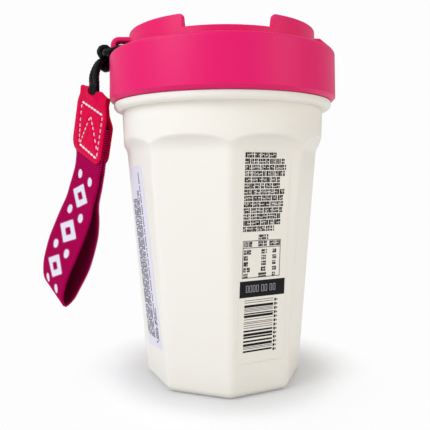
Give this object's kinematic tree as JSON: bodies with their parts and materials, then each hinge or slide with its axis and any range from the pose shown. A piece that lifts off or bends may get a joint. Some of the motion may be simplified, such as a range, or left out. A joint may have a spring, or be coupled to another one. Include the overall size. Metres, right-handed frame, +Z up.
{
  "type": "drink bottle",
  "caption": "Eight-sided plastic milk drink bottle with a round neck, a wide screw lid with a notched ring, and a wrist strap on a cord",
  "frame": {"origin": "middle of the base, on the surface the bottle stands on", "axes": "+Z up; -Y front, towards a ridge of the body and a notch of the lid; -X towards the strap"},
  "size_m": [0.1269, 0.092, 0.1372],
  "materials": {
    "bottle_plastic": "warm white moulded plastic, satin",
    "lid_plastic": "deep pink moulded plastic, slightly glossy",
    "clear_label": "clear film label lying on the plastic",
    "paper_label": "matt white paper label",
    "tab_leather": "smooth red leather, stitched",
    "webbing": "ribbed pink webbing",
    "cord": "black braided cord"
  },
  "bodies": {
    "root": {"bottle": "bottle_plastic", "lid": "lid_plastic", "clear_label": "clear_label", "paper_label": "paper_label", "strap_tab": "tab_leather", "strap_webbing": "webbing", "cord_knot": "cord", "cord_loop": "cord", "cord_strand_left": "cord", "cord_strand_right": "cord"}
  },
  "joints": []
}
